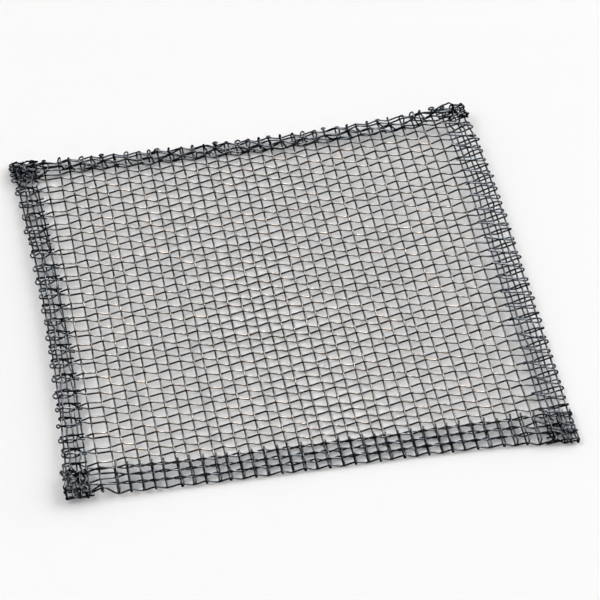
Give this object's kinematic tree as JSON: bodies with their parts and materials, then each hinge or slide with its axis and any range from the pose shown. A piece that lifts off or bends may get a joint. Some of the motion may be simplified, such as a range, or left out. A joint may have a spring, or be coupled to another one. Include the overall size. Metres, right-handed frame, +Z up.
{
  "type": "wire gauze",
  "caption": "Square of plain woven steel wire gauze for the bench, with cut edges folded over onto the top face as hems and dense, four-layer corners.",
  "frame": {"origin": "centre of the square, on the table that the gauze lies on", "axes": "+X to the right along the front hem, +Y to the back, +Z up out of the face that the hems are folded onto"},
  "size_m": [0.125, 0.125, 0.008],
  "materials": {
    "steel_wire": "drawn steel wire, dark blue-grey and dull, with bright glints where it bends"
  },
  "bodies": {
    "root": {"warp_wires_01": "steel_wire", "warp_wires_02": "steel_wire", "warp_wires_03": "steel_wire", "warp_wires_04": "steel_wire", "warp_wires_05": "steel_wire", "warp_wires_06": "steel_wire", "warp_wires_07": "steel_wire", "warp_wires_08": "steel_wire", "warp_wires_09": "steel_wire", "warp_wires_10": "steel_wire", "warp_wires_11": "steel_wire", "warp_wires_12": "steel_wire", "warp_wires_13": "steel_wire", "warp_wires_14": "steel_wire", "warp_wires_15": "steel_wire", "warp_wires_16": "steel_wire", "warp_wires_17": "steel_wire", "warp_wires_18": "steel_wire", "warp_wires_19": "steel_wire", "warp_wires_20": "steel_wire", "warp_wires_21": "steel_wire", "warp_wires_22": "steel_wire", "warp_wires_23": "steel_wire", "weft_wires_01": "steel_wire", "weft_wires_02": "steel_wire", "weft_wires_03": "steel_wire", "weft_wires_04": "steel_wire", "weft_wires_05": "steel_wire", "weft_wires_06": "steel_wire", "weft_wires_07": "steel_wire", "weft_wires_08": "steel_wire", "weft_wires_09": "steel_wire", "weft_wires_10": "steel_wire", "weft_wires_11": "steel_wire", "weft_wires_12": "steel_wire", "weft_wires_13": "steel_wire", "weft_wires_14": "steel_wire", "weft_wires_15": "steel_wire", "weft_wires_16": "steel_wire", "weft_wires_17": "steel_wire", "weft_wires_18": "steel_wire", "weft_wires_19": "steel_wire", "weft_wires_20": "steel_wire", "weft_wires_21": "steel_wire", "weft_wires_22": "steel_wire", "weft_wires_23": "steel_wire", "weft_wires_24": "steel_wire", "weft_wires_25": "steel_wire", "weft_wires_26": "steel_wire", "weft_wires_27": "steel_wire", "weft_wires_28": "steel_wire"}
  },
  "joints": []
}
